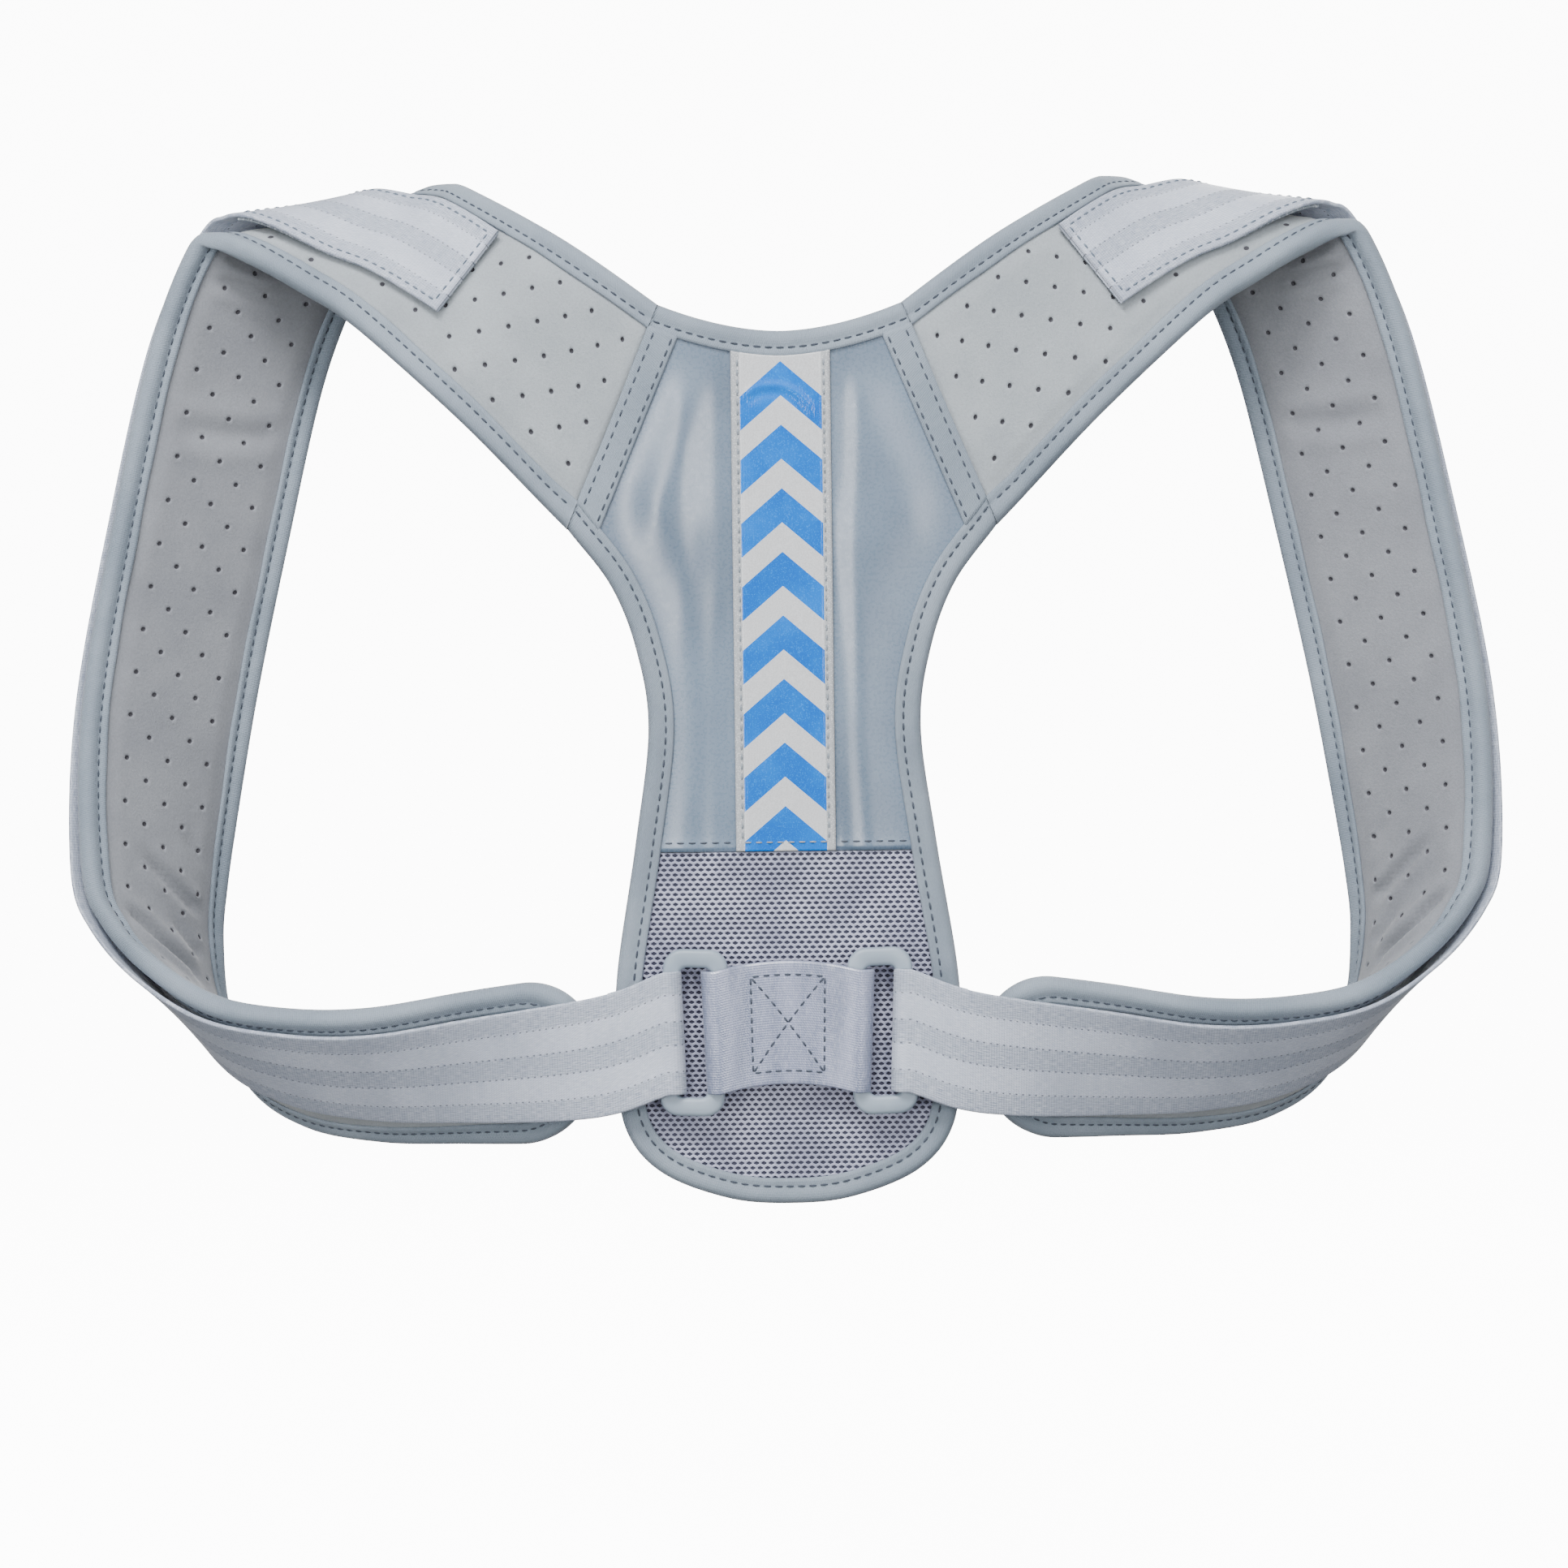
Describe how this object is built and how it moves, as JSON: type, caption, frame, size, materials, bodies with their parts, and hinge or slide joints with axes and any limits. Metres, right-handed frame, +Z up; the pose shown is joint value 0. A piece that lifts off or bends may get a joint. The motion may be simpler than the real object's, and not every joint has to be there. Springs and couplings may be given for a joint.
{
  "type": "posture corrector",
  "caption": "Back-worn posture brace: padded back panel with a chevron tape, padded shoulder loops, side webbing joined by flat plastic loops.",
  "frame": {"origin": "middle of the back panel, on its flat body side, where it lies on the wearer's spine", "axes": "+X to the wearer's right, +Y from the panel into the wearer's back, +Z up towards the neck"},
  "size_m": [0.4576, 0.0829, 0.3253],
  "materials": {
    "pad_fabric": "matte, perforated",
    "core_fabric": "matte",
    "binding_tape": "ribbed tape",
    "leatherette": "glossy",
    "mesh_fabric": "open mesh",
    "chevron_print": "printed, satin",
    "webbing": "satin woven",
    "hook_tape": "matte",
    "loop_plastic": "moulded, satin"
  },
  "bodies": {
    "root": {"back_pad": "core_fabric", "leather_facing": "leatherette", "mesh_facing": "mesh_fabric", "chevron_tape": "chevron_print", "panel_binding": "binding_tape", "neck_binding": "binding_tape", "centre_webbing": "webbing", "seam_tape_left": "binding_tape", "seam_tape_right": "binding_tape", "strap_pad_left": "pad_fabric", "strap_pad_right": "pad_fabric", "strap_binding_left": "binding_tape", "strap_binding_right": "binding_tape", "webbing_left": "webbing", "webbing_right": "webbing", "hook_patch_left": "hook_tape", "hook_patch_right": "hook_tape", "flat_loop_left": "loop_plastic", "flat_loop_right": "loop_plastic"}
  },
  "joints": []
}
